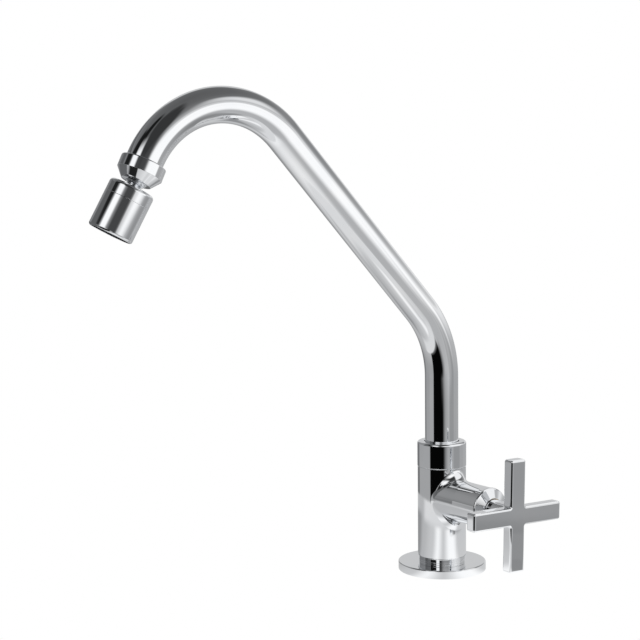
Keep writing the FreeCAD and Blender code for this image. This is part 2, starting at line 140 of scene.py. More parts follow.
def outline(items):
    """Runs of (point, normal) round a closed (r, z) outline. An item is (r, z), (r, z, fillet) or
    ("arc", r, z, radius, from, to, side), with angles in degrees and side -1 where the arc is hollow."""
    n = len(items)
    ends = []
    for it in items:
        if it[0] == "arc":
            _, cr, cz, rad, a0, a1, _ = it
            ends.append(tuple(Vector((cr + rad * math.cos(math.radians(a)), cz + rad * math.sin(math.radians(a)))) for a in (a0, a1)))
        else:
            ends.append((Vector(it[:2]), Vector(it[:2])))
    area = 0.0
    for i in range(n):
        for a, b in ((ends[i][0], ends[i][1]), (ends[i][1], ends[(i + 1) % n][0])):
            area += a.x * b.y - b.x * a.y
    turn = 1.0 if area > 0 else -1.0
    runs, cut = [], []
    for i, it in enumerate(items):
        if it[0] == "arc":
            _, cr, cz, rad, a0, a1, side = it
            steps = max(2, math.ceil(abs(a1 - a0) / 6))
            run = []
            for k in range(steps + 1):
                a = math.radians(a0 + (a1 - a0) * k / steps)
                run.append((Vector((cr + rad * math.cos(a), cz + rad * math.sin(a))), Vector((math.cos(a), math.sin(a))) * side))
            cut.append((run[0][0], run[-1][0], run))
        elif len(it) == 3 and it[2] > 0:
            p, before, after = Vector(it[:2]), ends[i - 1][1], ends[(i + 1) % n][0]
            u, w = (before - p).normalized(), (after - p).normalized()
            half = u.angle(w) / 2
            back = it[2] / math.tan(half)
            t0, t1 = p + u * back, p + w * back
            c = p + (u + w).normalized() * (it[2] / math.sin(half))
            cross = (p - before).x * (after - p).y - (p - before).y * (after - p).x
            side = 1.0 if cross * turn > 0 else -1.0
            v0, v1 = (t0 - c).normalized(), (t1 - c).normalized()
            steps = max(2, math.ceil(math.degrees(v0.angle(v1)) / 11))
            sweep = v0.angle_signed(v1)
            run = []
            for k in range(steps + 1):
                a = -sweep * k / steps
                v = Vector((v0.x * math.cos(a) - v0.y * math.sin(a), v0.x * math.sin(a) + v0.y * math.cos(a)))
                run.append((c + v * it[2], v * side))
            cut.append((t0, t1, run))
        else:
            cut.append((ends[i][0], ends[i][1], None))
    for i in range(n):
        if cut[i][2]:
            runs.append(cut[i][2])
        a, b = cut[i][1], cut[(i + 1) % n][0]
        if (b - a).length > 1e-4:
            d = (b - a).normalized()
            nn = Vector((d.y, -d.x)) * turn
            runs.append([(a, nn), (b, nn)])
    return runs


def lathe(skin, items, place=UP, around=160):
    rot = place.to_3x3()
    for run in outline(items):
        pts, nrm = [], []
        for p, nn in run:
            row, rown = [], []
            for k in range(around + 1):
                a = 2 * math.pi * (k % around) / around
                c, s = math.cos(a), math.sin(a)
                row.append(place @ Vector((p.x * c, p.x * s, p.y)))
                rown.append(rot @ Vector((nn.x * c, nn.x * s, nn.y)))
            pts.append(row)
            nrm.append(rown)
        skin.grid(pts, nrm)


def turned(name, body, slot, material, items, place=UP, around=160, replaced=()):
    s = Skin()
    lathe(s, items, place, around)
    return s.build(name, body, slot, material, *replaced)


def exact_copy(name, body, slot, material, node, candidates, limit=9.0):
    """The node's own faces with the true surface's normal at each corner, in place of the facets' own."""
    me = nodes[node].data
    me.calc_loop_triangles()
    co = [v.co * 1000.0 for v in me.vertices]
    s = Skin()
    near = math.cos(math.radians(limit))
    cache = {}
    for t in me.loop_triangles:
        p = [co[i] for i in t.vertices]
        f = (p[1] - p[0]).cross(p[2] - p[0])
        if f.length < 1e-9:
            continue
        f.normalize()
        nrm = []
        for q in p:
            k = (round(q.x * 1e3), round(q.y * 1e3), round(q.z * 1e3))
            if k not in cache:
                cache[k] = candidates(q)
            best, n = near, f
            for c in cache[k]:
                d = c.dot(f)
                if d > best:
                    best, n = d, c
            nrm.append(n)
        s.face(p, nrm)
    return s.build(name, body, slot, material, node)


AXES = [Vector(a) for a in ((1, 0, 0), (-1, 0, 0), (0, 1, 0), (0, -1, 0), (0, 0, 1), (0, 0, -1))]


# ------------------------------------------------------------------------------------------------ materials
def lin(c):
    return tuple(((x + 0.055) / 1.055) ** 2.4 if x > 0.04045 else x / 12.92 for x in c)


class Nodes:
    """Small helper for building a shader tree."""

    def __init__(self, tree):
        self.tree = tree
        tree.nodes.clear()

    def add(self, kind, **values):
        n = self.tree.nodes.new(kind)
        for k, v in values.items():
            setattr(n, k, v)
        return n

    def link(self, a, b):
        self.tree.links.new(a, b)

    def math(self, op, a, b=None, c=None, clamp=False):
        n = self.add("ShaderNodeMath", operation=op, use_clamp=clamp)
        for i, x in enumerate((a, b, c)):
            if x is None:
                continue
            if isinstance(x, (int, float)):
                n.inputs[i].default_value = x
            else:
                self.link(x, n.inputs[i])
        return n.outputs[0]

    def ramp(self, x, a0, a1, b0, b1, smooth=False):
        n = self.add("ShaderNodeMapRange", interpolation_type="SMOOTHSTEP" if smooth else "LINEAR")
        self.link(x, n.inputs["Value"])
        for key, v in (("From Min", a0), ("From Max", a1), ("To Min", b0), ("To Max", b1)):
            n.inputs[key].default_value = v
        return n.outputs["Result"]

    def noise(self, coord, scale, detail=2.0, rough=0.5):
        n = self.add("ShaderNodeTexNoise")
        self.link(coord, n.inputs["Vector"])
        n.inputs["Scale"].default_value = scale
        n.inputs["Detail"].default_value = detail
        n.inputs["Roughness"].default_value = rough
        return n.outputs["Fac"]

    def mix(self, fac, a, b):
        n = self.add("ShaderNodeMix", data_type="RGBA")
        if isinstance(fac, (int, float)):
            n.inputs[0].default_value = fac
        else:
            self.link(fac, n.inputs[0])
        for i, x in ((6, a), (7, b)):
            if isinstance(x, tuple):
                n.inputs[i].default_value = (*x[:3], 1.0)
            else:
                self.link(x, n.inputs[i])
        return n.outputs[2]

    def bump(self, height, strength, distance, normal=None):
        n = self.add("ShaderNodeBump")
        self.link(height, n.inputs["Height"])
        n.inputs["Strength"].default_value = strength
        n.inputs["Distance"].default_value = distance
        if normal is not None:
            self.link(normal, n.inputs["Normal"])
        return n.outputs["Normal"]


def start(name):
    m = bpy.data.materials.new(name)
    m.use_nodes = True
    t = Nodes(m.node_tree)
    out = t.add("ShaderNodeOutputMaterial")
    bs = t.add("ShaderNodeBsdfPrincipled")
    t.link(bs.outputs[0], out.inputs[0])
    obj = t.add("ShaderNodeTexCoord").outputs["Object"]
    return m, t, bs, obj


def stretched(t, coord, scale, spin=(0, 0, 0)):
    n = t.add("ShaderNodeMapping")
    t.link(coord, n.inputs["Vector"])
    n.inputs["Scale"].default_value = scale
    n.inputs["Rotation"].default_value = spin
    return n.outputs["Vector"]


def chrome(name, tone=1.0):
    """Polished chrome plate: a faint orange peel, hairline wiping marks and slightly uneven gloss."""
    m, t, bs, obj = start(name)
    bs.inputs["Metallic"].default_value = 1.0
    cloud = t.noise(obj, 38.0, 3.0, 0.55)
    t.link(t.mix(t.ramp(cloud, 0.3, 0.7, 0, 1), lin((0.935 * tone, 0.942 * tone, 0.952 * tone)), lin((0.955 * tone, 0.958 * tone, 0.962 * tone))), bs.inputs["Base Color"])
    marks = t.noise(stretched(t, obj, (900, 900, 60), (0.3, 0.5, 0.2)), 1.0, 2.0, 0.6)
    haze = t.noise(obj, 160.0, 2.0, 0.5)
    rough = t.math("ADD", t.ramp(haze, 0.3, 0.75, 0.022, 0.045), t.ramp(marks, 0.62, 0.8, 0.0, 0.03))
    t.link(rough, bs.inputs["Roughness"])
    peel = t.noise(obj, 260.0, 1.0, 0.4)
    t.link(t.bump(peel, 0.12, 0.000012), bs.inputs["Normal"])
    return m


def brass(name):
    """Turned brass, a little dulled in patches, with fine tool marks round the axis."""
    m, t, bs, obj = start(name)
    bs.inputs["Metallic"].default_value = 1.0
    patch = t.noise(obj, 90.0, 4.0, 0.6)
    t.link(t.mix(t.ramp(patch, 0.35, 0.7, 0, 1), lin((0.86, 0.72, 0.44)), lin((0.74, 0.58, 0.33))), bs.inputs["Base Color"])
    lines = t.noise(stretched(t, obj, (60, 60, 5200)), 1.0, 2.0, 0.5)
    t.link(t.math("ADD", t.ramp(patch, 0.3, 0.75, 0.24, 0.42), t.ramp(lines, 0.4, 0.7, 0.0, 0.06)), bs.inputs["Roughness"])
    t.link(t.bump(lines, 0.25, 0.00003), bs.inputs["Normal"])
    return m


def steel(name):
    """Stamped stainless steel with short rolling marks."""
    m, t, bs, obj = start(name)
    bs.inputs["Metallic"].default_value = 1.0
    streak = t.noise(stretched(t, obj, (90, 2600, 2600)), 1.0, 3.0, 0.6)
    cloud = t.noise(obj, 120.0, 2.0, 0.5)
    t.link(t.mix(t.ramp(streak, 0.35, 0.7, 0, 1), lin((0.80, 0.80, 0.81)), lin((0.70, 0.70, 0.72))), bs.inputs["Base Color"])
    t.link(t.math("ADD", t.ramp(streak, 0.35, 0.7, 0.22, 0.34), t.ramp(cloud, 0.35, 0.7, 0.0, 0.08)), bs.inputs["Roughness"])
    t.link(t.bump(streak, 0.2, 0.00002), bs.inputs["Normal"])
    return m


def rubber(name):
    """Black nitrile with a fine moulded grain and a dusty bloom."""
    m, t, bs, obj = start(name)
    bloom = t.noise(obj, 70.0, 4.0, 0.6)
    grain = t.noise(obj, 2600.0, 2.0, 0.6)
    t.link(t.mix(t.ramp(bloom, 0.35, 0.7, 0, 1), lin((0.085, 0.085, 0.09)), lin((0.15, 0.15, 0.155))), bs.inputs["Base Color"])
    t.link(t.ramp(bloom, 0.3, 0.75, 0.55, 0.78), bs.inputs["Roughness"])
    bs.inputs["Specular IOR Level"].default_value = 0.4
    t.link(t.bump(grain, 0.35, 0.00005), bs.inputs["Normal"])
    return m


def acetal(name, tint=(0.90, 0.90, 0.885), depth=0.15):
    """Moulded acetal: waxy, the white one slightly translucent."""
    m, t, bs, obj = start(name)
    cloud = t.noise(obj, 110.0, 3.0, 0.5)
    fine = t.noise(obj, 1500.0, 2.0, 0.5)
    t.link(t.mix(t.ramp(cloud, 0.35, 0.7, 0, 1), lin(tint), lin(tuple(x * 0.96 for x in tint))), bs.inputs["Base Color"])
    t.link(t.ramp(cloud, 0.3, 0.7, 0.30, 0.42), bs.inputs["Roughness"])
    bs.inputs["Subsurface Weight"].default_value = depth
    bs.inputs["Subsurface Scale"].default_value = 0.001
    t.link(t.bump(fine, 0.12, 0.00002), bs.inputs["Normal"])
    return m


def ceramic(name):
    """Lapped alumina, with the faint speckle of the fired body."""
    m, t, bs, obj = start(name)
    speck = t.noise(obj, 1900.0, 3.0, 0.6)
    t.link(t.mix(t.ramp(speck, 0.4, 0.7, 0, 1), lin((0.945, 0.94, 0.92)), lin((0.89, 0.88, 0.855))), bs.inputs["Base Color"])
    t.link(t.ramp(speck, 0.3, 0.7, 0.10, 0.2), bs.inputs["Roughness"])
    t.link(t.bump(speck, 0.06, 0.00001), bs.inputs["Normal"])
    return m


CHROME = chrome("chrome_plate")
BRASS = brass("turned_brass")
STEEL = steel("stainless_steel")
RUBBER = rubber("nitrile_rubber")
ACETAL = acetal("white_acetal")
DARK_ACETAL = acetal("dark_acetal", (0.20, 0.20, 0.21), 0.0)
CERAMIC = ceramic("alumina")
by_slot = {"chrome": CHROME, "brass": BRASS, "steel": STEEL, "rubber": RUBBER, "acetal": ACETAL, "dark_acetal": DARK_ACETAL, "ceramic": CERAMIC}
for part in frame["record"]["subparts"]:
    ob = nodes[part["node"]]
    mat = by_slot[part["material_slot"]]
    if not ob.data.materials:
        ob.data.materials.append(mat)
    for s in ob.material_slots:
        s.material = mat

# ------------------------------------------------------------------------------------------------ base
turned("flange_skin", "base", "chrome", CHROME, [
    (10.65, 0.0), (14.0, 0.0), (14.0, 1.8), (22.6, 1.8), (22.6, 0.0), (FLANGE_R, 0.0, 0.3),
    (FLANGE_R, FLANGE_H, 0.7), (BOSS_R, FLANGE_H, 0.12), (BOSS_R, BOSS_TOP, 0.25), (10.65, BOSS_TOP)],
    around=224, replaced=["base_flange"])

# valve body: the normals of the barrel, the arm and the fillet between them are worked out exactly
fillet_line = []
draft = math.sqrt(1 + ARM_DRAFT ** 2)
for k in range(1440):
    a = 2 * math.pi * k / 1440
    y = BODY_R + ARM_FILLET
    for _ in range(30):
        rho = ARM_R + ARM_DRAFT * (ARM_TURNED - y) + ARM_FILLET * draft
        x = rho * math.sin(a)
        y = math.sqrt((BODY_R + ARM_FILLET) ** 2 - x * x)
    fillet_line.append(Vector((x, -y, ARM_Z + rho * math.cos(a))))


def body_normals(q):
    out = list(AXES)
    r = math.hypot(q.x, q.y)
    if r > 0.5:
        e = Vector((q.x / r, q.y / r, 0))
        out += [e, -e]
        if abs(r - BODY_R) < 0.5 and q.z < BODY_Z0 + 0.45:
            c = Vector((e.x * (BODY_R - 0.4), e.y * (BODY_R - 0.4), BODY_Z0 + 0.4))
            if (q - c).length > 0.35:
                out.append((q - c).normalized())
        if abs(r - BODY_R) < 0.4 and q.z > BODY_Z1 - 0.35:
            out.append((e + Vector((0, 0, 1))).normalized())
    dz = q.z - ARM_Z
    ra = math.hypot(q.x, dz)
    if ra > 0.5:
        e = Vector((q.x / ra, 0, dz / ra))
        out += [e, -e]
        if q.y > -ARM_TURNED - 0.01 and ra > ARM_R - 0.01:
            out.append((e + Vector((0, -ARM_DRAFT, 0))).normalized())
        if q.y < -ARM_LEN + 0.4 and ra > ARM_R - 0.45:
            c = Vector((e.x * (ARM_R - 0.35), -ARM_LEN + 0.35, ARM_Z + e.z * (ARM_R - 0.35)))
            if (q - c).length > 0.3:
                out.append((q - c).normalized())
    if -21 < q.y < -3 and r > BODY_R - 0.02 and ra > ARM_R - 0.02 and r < BODY_R + ARM_FILLET and ra < ARM_R + 1 + ARM_FILLET:
        i = min(range(0, 1440, 24), key=lambda k: (fillet_line[k] - q).length_squared)
        i = min(range(i - 26, i + 27), key=lambda k: (fillet_line[k % 1440] - q).length_squared) % 1440
        a, b, c = fillet_line[i - 1], fillet_line[i], fillet_line[(i + 1) % 1440]
        t = (c - a).normalized()
        foot = b + t * (q - b).dot(t)
        out.append((foot - q).normalized())
    return out


exact_copy("body_skin", "base", "chrome", CHROME, "valve_body", body_normals)

turned("collar_skin", "base", "chrome", CHROME, [
    (12.0, BODY_Z1), (COLLAR_R, BODY_Z1, 0.28), (COLLAR_R, COLLAR_TOP, 1.4), (10.0, COLLAR_TOP, 0.3),
    (10.0, 72.8), (12.0, 72.8)], around=200, replaced=["swivel_collar"])
turned("slip_ring_skin", "base", "acetal", ACETAL, [
    (TUBE_R + 0.075, 71.4, 0.1), (11.95, 71.4), (11.95, 72.8), (TUBE_R + 0.075, 72.8, 0.1)], around=160, replaced=["upper_slip_ring"])
turn = math.radians(BONNET_FACE)
face_r = BONNET_R - BONNET_ROUND * (1 - math.cos(turn))
bonnet_end = ARM_LEN + 0.2 + BONNET_ROUND * math.sin(turn) + (face_r - 6.75) / math.tan(turn)
turned("bonnet_skin", "base", "chrome", CHROME, [
    (8.95, 39.0), (9.9, 39.0), (9.9, ARM_LEN), (BONNET_R, ARM_LEN, 0.1),
    ("arc", BONNET_R - BONNET_ROUND, ARM_LEN + 0.2, BONNET_ROUND, 0, BONNET_FACE, 1), (6.75, bonnet_end, 0.25), (6.35, bonnet_end, 0.1),
    (6.35, 42.7), (8.95, 42.7)], STEM, around=200, replaced=["bonnet_ring"])


# ------------------------------------------------------------------------------------------------ threads
def thread_height(s):
    """Depth of the rounded V at phase s, 0 at the crest and 1 at the root, with its slope."""
    s = s % 1.0
    tri = 2 * s if s < 0.5 else 2 - 2 * s
    slope = 2.0 if s < 0.5 else -2.0
    h = 0.5 * tri + 0.5 * (0.5 - 0.5 * math.cos(math.pi * tri))
    return h, (0.5 + 0.25 * math.pi * math.sin(math.pi * tri)) * slope


def thread_patch(skin, z0, z1, crest, sign, fade0=0.0, fade1=0.0, around=96, per_pitch=12):
    """A right-hand G 1/2 thread. sign 1 for the outside of a shaft, -1 for the inside of a nut."""
    rows = max(4, round((z1 - z0) / PITCH * per_pitch))
    pts, nrm = [], []
    for i in range(rows + 1):
        z = z0 + (z1 - z0) * i / rows
        k0 = min(1.0, (z - z0) / fade0) if fade0 else 1.0
        k1 = min(1.0, (z1 - z) / fade1) if fade1 else 1.0
        amp = THREAD_DEPTH * min(k0, k1)
        row, rown = [], []
        for k in range(around + 1):
            a = 2 * math.pi * (k % around) / around
            h, dh = thread_height(z / PITCH - a / (2 * math.pi))
            if sign > 0:
                r, rz, ra = crest - amp * h, -amp * dh / PITCH, amp * dh / (2 * math.pi)
            else:
                r, rz, ra = crest - amp * (1 - h) * 0.82, amp * 0.82 * dh / PITCH, -amp * 0.82 * dh / (2 * math.pi)
            c, s = math.cos(a), math.sin(a)
            row.append(Vector((r * c, r * s, z)))
            rown.append(Vector((r * c + ra * s, r * s - ra * c, -r * rz)).normalized() * sign)
        pts.append(row)
        nrm.append(rown)
    skin.grid(pts, nrm)
    return pts


def flat_to(skin, ring, r_in, z, up, around=96):
    """Flat ring from a row of points in to a circle."""
    inner = [Vector((r_in * math.cos(2 * math.pi * (k % around) / around), r_in * math.sin(2 * math.pi * (k % around) / around), z)) for k in range(around + 1)]
    n = [Vector((0, 0, up))] * (around + 1)
    skin.grid([inner, ring], [n, n])
    return inner


def circle(r, z, around=96):
    return [Vector((r * math.cos(2 * math.pi * (k % around) / around), r * math.sin(2 * math.pi * (k % around) / around), z)) for k in range(around + 1)]


def cone(skin, r0, z0, r1, z1, sign=1.0, around=96):
    d = Vector((r1 - r0, z1 - z0)).normalized()
    n = [Vector((d.y * math.cos(2 * math.pi * k / around), d.y * math.sin(2 * math.pi * k / around), -d.x)) * sign for k in range(around + 1)]
    skin.grid([circle(r0, z0, around), circle(r1, z1, around)], [n, n])


root_r = THREAD_R - THREAD_DEPTH - 0.03
s = Skin()
low = thread_patch(s, SHANK_BOTTOM + 1.0, RELIEF_Z - 1.0, THREAD_R - 0.01, 1, fade0=1.1, fade1=1.0)
high = thread_patch(s, RELIEF_Z + 1.0, SHANK_TOP, THREAD_R - 0.01, 1, fade0=1.0)
cone(s, THREAD_R - 1.0, SHANK_BOTTOM, THREAD_R - 0.01, SHANK_BOTTOM + 1.0)
cone(s, THREAD_R - 0.01, RELIEF_Z - 1.0, root_r, RELIEF_Z - 0.45)
cone(s, root_r, RELIEF_Z - 0.45, root_r, RELIEF_Z + 0.45)
cone(s, root_r, RELIEF_Z + 0.45, THREAD_R - 0.01, RELIEF_Z + 1.0)
cone(s, BORE_R, SHANK_TOP, BORE_R, SHANK_BOTTOM + 0.4, 1.0)
cone(s, BORE_R, SHANK_BOTTOM + 0.4, BORE_R + 0.4, SHANK_BOTTOM, 1.0)
flat_to(s, circle(THREAD_R - 1.0, SHANK_BOTTOM), BORE_R + 0.4, SHANK_BOTTOM, -1)
flat_to(s, high[-1], BORE_R, SHANK_TOP, 1)
s.build("shank_skin", "base", "brass", BRASS, "threaded_shank")

# lock nut: hexagon with turned chamfers and an inside thread
nut_z1 = -DECK_T - 3.5
nut_z0 = nut_z1 - 8.0
s = Skin()
HEX = 15.0
slope = 2.2 / 1.3
for side in range(6):
    mid = math.radians(60 * side + 30)
    per = 24
    cols = [mid + math.radians(-30 + 60 * k / per) for k in range(per + 1)]
    face_n = Vector((math.cos(mid), math.sin(mid), 0))
    rows = [[] for _ in range(6)]
    for a in cols:
        e = Vector((math.cos(a), math.sin(a), 0))
        rh = HEX / math.cos(a - mid)
        rc = min(15.2, rh)
        zb = max(0.0, (rh - 15.2) / slope)
        for row, (r, z) in zip(rows, ((rc, nut_z0), (rh, nut_z0 + zb), (rh, nut_z1 - zb), (rc, nut_z1), (11.2, nut_z0), (11.2, nut_z1))):
            row.append(e * r + Vector((0, 0, z)))
    low_n = [Vector((math.cos(a), math.sin(a), -slope)).normalized() for a in cols]
    top_n = [Vector((math.cos(a), math.sin(a), slope)).normalized() for a in cols]
    down, up = [Vector((0, 0, -1))] * len(cols), [Vector((0, 0, 1))] * len(cols)
    s.grid([rows[0], rows[1]], [low_n, low_n])
    s.grid([rows[1], rows[2]], [[face_n] * len(cols)] * 2)
    s.grid([rows[2], rows[3]], [top_n, top_n])
    s.grid([rows[4], rows[0]], [down, down])
    s.grid([rows[3], rows[5]], [up, up])
inside = thread_patch(s, nut_z0 + 0.65, nut_z1 - 0.65, THREAD_R + 0.07 + 0.0, -1, fade0=0.4, fade1=0.4, around=144)
cone(s, 11.2, nut_z0, THREAD_R + 0.07, nut_z0 + 0.65, -1.0, 144)
cone(s, THREAD_R + 0.07, nut_z1 - 0.65, 11.2, nut_z1, -1.0, 144)
lock = s.build("lock_nut_skin", "deck_nut", "brass", BRASS, "lock_nut")

turned("metal_washer_skin", "washers", "steel", STEEL, [
    (THREAD_R + 0.35, -DECK_T - 3.5, 0.15), (19.5, -DECK_T - 3.5, 0.35), (19.5, -DECK_T - 2.0, 0.12), (THREAD_R + 0.35, -DECK_T - 2.0, 0.1)],
    around=160, replaced=["metal_washer"])
turned("rubber_washer_skin", "washers", "rubber", RUBBER, [
    (THREAD_R + 0.5, -DECK_T - 2.0, 0.2), (19.0, -DECK_T - 2.0, 0.3), (19.0, -DECK_T, 0.3), (THREAD_R + 0.5, -DECK_T, 0.2)],
    around=160, replaced=["rubber_washer"])


# ------------------------------------------------------------------------------------------------ spout
def spout_line():
    """Centre, tangent and in-plane side of the tube, from its foot to its end in the nut."""
    out = [(Vector((0, 0, TUBE_Z0)), 0.0), (Vector((0, 0, STRAIGHT_TOP)), 0.0)]
    n = 40
    for k in range(1, n + 1):
        a = BEND1 * k / n
        out.append((Vector((-BEND1_R * (1 - math.cos(a)), 0, STRAIGHT_TOP + BEND1_R * math.sin(a))), a))
    out.append((P2.copy(), BEND1))
    n = 104
    for k in range(1, n + 1):
        a = BEND1 + BEND2 * k / n
        out.append((C2 + Vector((math.cos(a), 0, math.sin(a))) * BEND2_R, a))
    out.append((TIP + OUT * TUBE_END, BEND1 + BEND2))
    return out


def tube_patch(skin, r, sign, around=144, shorten=0.0):
    pts, nrm = [], []
    line = spout_line()
    for i, (c, a) in enumerate(line):
        side = Vector((math.cos(a), 0, math.sin(a)))
        if i == 0:
            c = c + Vector((0, 0, shorten))
        if i == len(line) - 1:
            c = c - OUT * shorten
        row, rown = [], []
        for k in range(around + 1):
            t = 2 * math.pi * (k % around) / around
            e = side * math.cos(t) + Vector((0, 1, 0)) * math.sin(t)
            row.append(c + e * r)
            rown.append(e * sign)
        pts.append(row)
        nrm.append(rown)
    skin.grid(pts, nrm)
    return pts


s = Skin()
outer = tube_patch(s, TUBE_R, 1.0, shorten=0.3)
inner = tube_patch(s, TUBE_IN, -1.0)
line = spout_line()
for end, axis in ((0, Vector((0, 0, -1))), (-1, OUT)):
    c, a = line[end]
    side = Vector((math.cos(a), 0, math.sin(a)))
    ring = []
    for k in range(145):
        t = 2 * math.pi * (k % 144) / 144
        ring.append(c + (side * math.cos(t) + Vector((0, 1, 0)) * math.sin(t)) * (TUBE_R - 0.3))
    flat = [axis] * 145
    s.grid([inner[end], ring], [flat, flat])
    bev = [((p - c).normalized() + axis).normalized() for p in ring]
    s.grid([ring, outer[end]], [bev, bev])
s.build("tube_skin", "spout", "chrome", CHROME, "spout_tube")

# swivel nut at the tube's end, with the ball's seat inside it
seat = BALL_R + 0.05
mouth = math.sqrt(seat ** 2 - (NUT_LEN - BALL_Q) ** 2)
a_mouth = math.degrees(math.atan2(-(NUT_LEN - BALL_Q), mouth))
turned("ball_nut_skin", "spout", "chrome", CHROME, [
    (TUBE_R + 0.06, 0.0, 0.12), (NUT_R, 0.0, 0.75), (NUT_R, -NUT_CYL, 0.25), (7.75, -NUT_LEN, 0.3),
    (mouth + 0.25, -NUT_LEN), ("arc", 0.0, -BALL_Q, seat, a_mouth + 2.0, 0.0, -1), (seat, -6.2), (10.6, -6.2), (10.6, -0.9), (TUBE_R + 0.06, -0.9)],
    AT_TIP, around=192, replaced=["ball_nut"])

# ball and neck of the outlet joint
neck_a = math.degrees(math.acos(NECK_R / BALL_R))
top_a = math.degrees(math.asin(5.6 / BALL_R))
turned("ball_skin", "aerator_head", "chrome", CHROME, [
    (2.4, -18.2), (NECK_R, -18.2), ("arc", 0.0, -HEAD_BALL, BALL_R, -neck_a, top_a, 1), (2.4, -HEAD_BALL + 5.6)],
    AT_HEAD, around=160, replaced=["ball_stem"])

# ------------------------------------------------------------------------------------------------ aerator head
q0, q1, q2 = -HEAD_Q, -HEAD_Q - CAP_LEN, -HEAD_Q - HEAD_LEN
turned("cap_skin", "aerator_head", "chrome", CHROME, [
    (NECK_R, q0), (HEAD_R, q0, 2.0), (HEAD_R, q1, 0.16), (10.7, q1), (10.7, q0 - 3.0), (NECK_R, q0 - 3.0)],
    AT_HEAD, around=192, replaced=["aerator_cap"])
turned("shell_skin", "aerator_head", "chrome", CHROME, [
    (10.7, q1), (HEAD_R, q1, 0.16), (HEAD_R, q2, 1.3), (10.2, q2, 0.15), (10.2, -39.0), (8.9, -39.0), (8.9, -38.2), (9.55, -38.2),
    (9.55, -18.7), (10.7, -18.7, 0.2)], AT_HEAD, around=192, replaced=["aerator_shell"])

# ------------------------------------------------------------------------------------------------ handle
to_handle = (STEM @ Matrix.Rotation(ROLL, 4, "Z")).inverted()
from_handle = to_handle.inverted().to_3x3()


def cross_outline(inset):
    """Outline of the cross's plate, drawn in by inset, as (point, normal) pairs."""
    out = []
    a, b, rc, ri = CROSS_HALF, CROSS_W / 2, CROSS_EDGE, CROSS_INNER
    for quarter in range(4):
        c, s = (1, 0, -1, 0)[quarter], (0, 1, 0, -1)[quarter]
        arcs = [((a - rc, -(b - rc)), rc - inset, -90, 0, 1), ((a - rc, b - rc), rc - inset, 0, 90, 1), ((b + ri, b + ri), ri + inset, 270, 180, -1)]
        for (x, y), r, a0, a1, side in arcs:
            for k in range(9):
                t = math.radians(a0 + (a1 - a0) * k / 8)
                px, py, nx, ny = x + r * math.cos(t), y + r * math.sin(t), side * math.cos(t), side * math.sin(t)
                out.append((Vector((px * c - py * s, px * s + py * c)), Vector((nx * c - ny * s, nx * s + ny * c))))
    return out


def cross_plate(skin):
    place = STEM @ Matrix.Rotation(ROLL, 4, "Z")
    rot = place.to_3x3()
    back, front, e = CROSS_FRONT - CROSS_DEPTH, CROSS_FRONT, CROSS_EDGE
    rows = [(e * (1 - math.cos(t)), back + e - e * math.sin(t), math.cos(t), -math.sin(t)) for t in (math.radians(90 - 11.25 * k) for k in range(9))]
    rows += [(e * (1 - math.cos(t)), front - e + e * math.sin(t), math.cos(t), math.sin(t)) for t in (math.radians(11.25 * k) for k in range(9))]
    pts, nrm = [], []
    for inset, z, side, along in rows:
        o = cross_outline(inset)
        o.append(o[0])
        pts.append([place @ Vector((p.x, p.y, z)) for p, n in o])
        nrm.append([rot @ Vector((n.x * side, n.y * side, along)) for p, n in o])
    skin.grid(pts, nrm)
    # front and back faces: each arm in strips, with the corners' arcs round the middle
    for z, n in ((back, Vector((0, 0, -1))), (front, Vector((0, 0, 1)))):
        nn = rot @ n
        o = [p for p, _ in cross_outline(e)]
        per = len(o) // 4
        middle = []
        for q in range(4):
            arm = o[q * per:q * per + 18]
            arc = o[q * per + 18:(q + 1) * per]
            before = o[q * per - 1]
            ring = [before] + [arm[0], arm[17]] + [arc[0]]
            skin.face([place @ Vector((p.x, p.y, z)) for p in ring], [nn] * 4)
            middle += arc
        for k in range(len(middle)):
            a, b = middle[k], middle[(k + 1) % len(middle)]
            skin.face([place @ Vector((a.x, a.y, z)), place @ Vector((b.x, b.y, z)), place @ Vector((0, 0, z))], [nn] * 3)


def hub_normals(q):
    p = to_handle @ q
    out = [from_handle @ a for a in AXES]
    r = math.hypot(p.x, p.y)
    if r > 0.3:
        e = from_handle @ Vector((p.x / r, p.y / r, 0))
        out += [e, -e]
        out.append((e - from_handle @ Vector((0, 0, 1))).normalized())
    r = math.hypot(p.x, p.z - 50.5)
    if 0.2 < r < 2.3:
        out.append(from_handle @ Vector((-p.x / r, 0, -(p.z - 50.5) / r)))
    return out


s = Skin()
cross_plate(s)
HUB_R, HUB_END = 6.0, CROSS_FRONT - CROSS_DEPTH
cross_mesh = nodes["cross_handle"].data
cross_mesh.calc_loop_triangles()
co = [v.co * 1000.0 for v in cross_mesh.vertices]
where = [to_handle @ p for p in co]
count = {}
for t in cross_mesh.loop_triangles:
    ids = list(t.vertices)
    if max(math.hypot(where[i].x, where[i].y) for i in ids) > HUB_R + 0.03 or max(where[i].z for i in ids) > HUB_END + 0.03:
        continue
    if min(where[i].z for i in ids) > HUB_END - 0.03:
        continue
    p = [co[i] for i in ids]
    f = (p[1] - p[0]).cross(p[2] - p[0])
    if f.length < 1e-9:
        continue
    f.normalize()
    nrm = []
    for q in p:
        best, n = math.cos(math.radians(16)), f
        for c in hub_normals(q):
            if c.dot(f) > best:
                best, n = c.dot(f), c
        nrm.append(n)
    s.face(p, nrm)
    keys = [s.point(q) for q in p]
    for a, b in zip(keys, keys[1:] + keys[:1]):
        count[(min(a, b), max(a, b))] = count.get((min(a, b), max(a, b)), 0) + 1
centre = to_handle.inverted() @ Vector((0, 0, HUB_END))
for (a, b), n in count.items():
    if n == 1 and a != b:
        s.face([s.points[a], s.points[b], centre], [from_handle @ Vector((0, 0, 1))] * 3)
s.build("cross_skin", "handle", "chrome", CHROME, "cross_handle")

